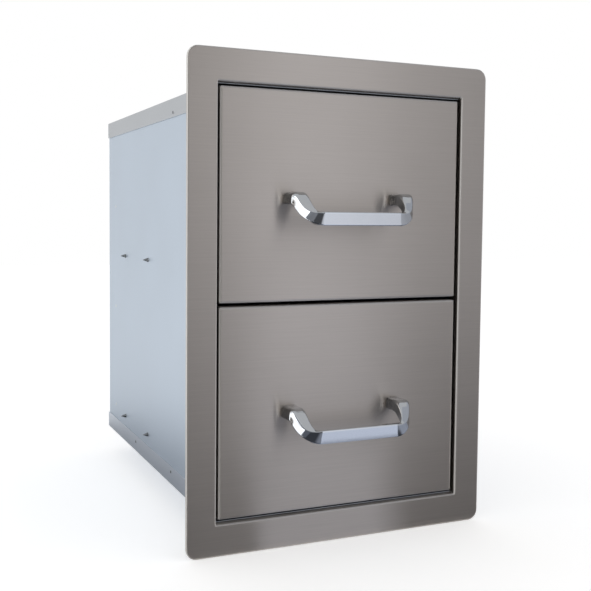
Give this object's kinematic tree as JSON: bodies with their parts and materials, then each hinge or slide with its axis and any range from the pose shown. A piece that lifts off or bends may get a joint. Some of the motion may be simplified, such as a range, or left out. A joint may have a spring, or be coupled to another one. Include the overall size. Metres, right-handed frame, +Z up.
{
  "type": "outdoor kitchen drawer unit",
  "caption": "Built-in drawer unit for an outdoor kitchen: folded steel face frame, sheet-metal cabinet and stacked drawers with bow handles on full-extension ball slides.",
  "frame": {"origin": "on the back plane of the face frame, in the middle of its lower back lip", "axes": "+X to the right seen from in front, +Y into the cabinet, +Z up"},
  "size_m": [0.381, 0.564, 0.5588],
  "materials": {
    "face_steel": "satin, grain across the width",
    "cabinet_steel": "matt mill finish, faintly blue",
    "strip_steel": "matt mill finish",
    "drawer_steel": "satin",
    "rail_zinc": "bright zinc-plated steel",
    "cage_steel": "plain rolled steel",
    "handle_chrome": "polished chrome plate",
    "screw_steel": "dark steel screws"
  },
  "bodies": {
    "cabinet": {"face_frame": "face_steel", "top_panel": "strip_steel", "bottom_panel": "strip_steel", "back_panel": "cabinet_steel", "side_panel_left": "cabinet_steel", "side_panel_right": "cabinet_steel", "lower_outer_rail_left": "rail_zinc", "lower_rail_screw_left_front": "screw_steel", "lower_rail_screw_left_middle": "screw_steel", "lower_rail_screw_left_rear": "screw_steel", "lower_outer_rail_right": "rail_zinc", "lower_rail_screw_right_front": "screw_steel", "lower_rail_screw_right_middle": "screw_steel", "lower_rail_screw_right_rear": "screw_steel", "upper_outer_rail_left": "rail_zinc", "upper_rail_screw_left_front": "screw_steel", "upper_rail_screw_left_middle": "screw_steel", "upper_rail_screw_left_rear": "screw_steel", "upper_outer_rail_right": "rail_zinc", "upper_rail_screw_right_front": "screw_steel", "upper_rail_screw_right_middle": "screw_steel", "upper_rail_screw_right_rear": "screw_steel"},
    "lower_drawer": {"lower_front_panel": "face_steel", "lower_front_liner": "drawer_steel", "lower_box_back": "drawer_steel", "lower_box_bottom": "drawer_steel", "lower_handle": "handle_chrome", "lower_box_side_left": "drawer_steel", "lower_handle_screw_left": "rail_zinc", "lower_inner_rail_left": "rail_zinc", "lower_box_side_right": "drawer_steel", "lower_handle_screw_right": "rail_zinc", "lower_inner_rail_right": "rail_zinc"},
    "lower_middle_rail_left_body": {"lower_middle_rail_left": "rail_zinc"},
    "lower_outer_ball_cage_left_body": {"lower_outer_ball_cage_left": "cage_steel"},
    "lower_inner_ball_cage_left_body": {"lower_inner_ball_cage_left": "cage_steel"},
    "lower_middle_rail_right_body": {"lower_middle_rail_right": "rail_zinc"},
    "lower_outer_ball_cage_right_body": {"lower_outer_ball_cage_right": "cage_steel"},
    "lower_inner_ball_cage_right_body": {"lower_inner_ball_cage_right": "cage_steel"},
    "upper_drawer": {"upper_front_panel": "face_steel", "upper_front_liner": "drawer_steel", "upper_box_back": "drawer_steel", "upper_box_bottom": "drawer_steel", "upper_handle": "handle_chrome", "upper_box_side_left": "drawer_steel", "upper_handle_screw_left": "rail_zinc", "upper_inner_rail_left": "rail_zinc", "upper_box_side_right": "drawer_steel", "upper_handle_screw_right": "rail_zinc", "upper_inner_rail_right": "rail_zinc"},
    "upper_middle_rail_left_body": {"upper_middle_rail_left": "rail_zinc"},
    "upper_outer_ball_cage_left_body": {"upper_outer_ball_cage_left": "cage_steel"},
    "upper_inner_ball_cage_left_body": {"upper_inner_ball_cage_left": "cage_steel"},
    "upper_middle_rail_right_body": {"upper_middle_rail_right": "rail_zinc"},
    "upper_outer_ball_cage_right_body": {"upper_outer_ball_cage_right": "cage_steel"},
    "upper_inner_ball_cage_right_body": {"upper_inner_ball_cage_right": "cage_steel"}
  },
  "joints": [
    {"name": "lower_drawer_slide", "type": "slide", "parent": "cabinet", "child": "lower_drawer", "axis": [0, -1, 0], "range_m": [0, 0.44]},
    {"name": "lower_middle_rail_left_slide", "type": "slide", "parent": "cabinet", "child": "lower_middle_rail_left_body", "axis": [0, -1, 0], "range_m": [0, 0.22]},
    {"name": "lower_outer_ball_cage_left_slide", "type": "slide", "parent": "cabinet", "child": "lower_outer_ball_cage_left_body", "axis": [0, -1, 0], "range_m": [0, 0.11]},
    {"name": "lower_inner_ball_cage_left_slide", "type": "slide", "parent": "cabinet", "child": "lower_inner_ball_cage_left_body", "axis": [0, -1, 0], "range_m": [0, 0.33]},
    {"name": "lower_middle_rail_right_slide", "type": "slide", "parent": "cabinet", "child": "lower_middle_rail_right_body", "axis": [0, -1, 0], "range_m": [0, 0.22]},
    {"name": "lower_outer_ball_cage_right_slide", "type": "slide", "parent": "cabinet", "child": "lower_outer_ball_cage_right_body", "axis": [0, -1, 0], "range_m": [0, 0.11]},
    {"name": "lower_inner_ball_cage_right_slide", "type": "slide", "parent": "cabinet", "child": "lower_inner_ball_cage_right_body", "axis": [0, -1, 0], "range_m": [0, 0.33]},
    {"name": "upper_drawer_slide", "type": "slide", "parent": "cabinet", "child": "upper_drawer", "axis": [0, -1, 0], "range_m": [0, 0.44]},
    {"name": "upper_middle_rail_left_slide", "type": "slide", "parent": "cabinet", "child": "upper_middle_rail_left_body", "axis": [0, -1, 0], "range_m": [0, 0.22]},
    {"name": "upper_outer_ball_cage_left_slide", "type": "slide", "parent": "cabinet", "child": "upper_outer_ball_cage_left_body", "axis": [0, -1, 0], "range_m": [0, 0.11]},
    {"name": "upper_inner_ball_cage_left_slide", "type": "slide", "parent": "cabinet", "child": "upper_inner_ball_cage_left_body", "axis": [0, -1, 0], "range_m": [0, 0.33]},
    {"name": "upper_middle_rail_right_slide", "type": "slide", "parent": "cabinet", "child": "upper_middle_rail_right_body", "axis": [0, -1, 0], "range_m": [0, 0.22]},
    {"name": "upper_outer_ball_cage_right_slide", "type": "slide", "parent": "cabinet", "child": "upper_outer_ball_cage_right_body", "axis": [0, -1, 0], "range_m": [0, 0.11]},
    {"name": "upper_inner_ball_cage_right_slide", "type": "slide", "parent": "cabinet", "child": "upper_inner_ball_cage_right_body", "axis": [0, -1, 0], "range_m": [0, 0.33]}
  ],
  "couplings": [
    {"joint": "lower_middle_rail_left_slide", "follows": "lower_drawer_slide", "ratio": 0.5},
    {"joint": "lower_outer_ball_cage_left_slide", "follows": "lower_drawer_slide", "ratio": 0.25},
    {"joint": "lower_inner_ball_cage_left_slide", "follows": "lower_drawer_slide", "ratio": 0.75},
    {"joint": "lower_middle_rail_right_slide", "follows": "lower_drawer_slide", "ratio": 0.5},
    {"joint": "lower_outer_ball_cage_right_slide", "follows": "lower_drawer_slide", "ratio": 0.25},
    {"joint": "lower_inner_ball_cage_right_slide", "follows": "lower_drawer_slide", "ratio": 0.75},
    {"joint": "upper_middle_rail_left_slide", "follows": "upper_drawer_slide", "ratio": 0.5},
    {"joint": "upper_outer_ball_cage_left_slide", "follows": "upper_drawer_slide", "ratio": 0.25},
    {"joint": "upper_inner_ball_cage_left_slide", "follows": "upper_drawer_slide", "ratio": 0.75},
    {"joint": "upper_middle_rail_right_slide", "follows": "upper_drawer_slide", "ratio": 0.5},
    {"joint": "upper_outer_ball_cage_right_slide", "follows": "upper_drawer_slide", "ratio": 0.25},
    {"joint": "upper_inner_ball_cage_right_slide", "follows": "upper_drawer_slide", "ratio": 0.75}
  ]
}
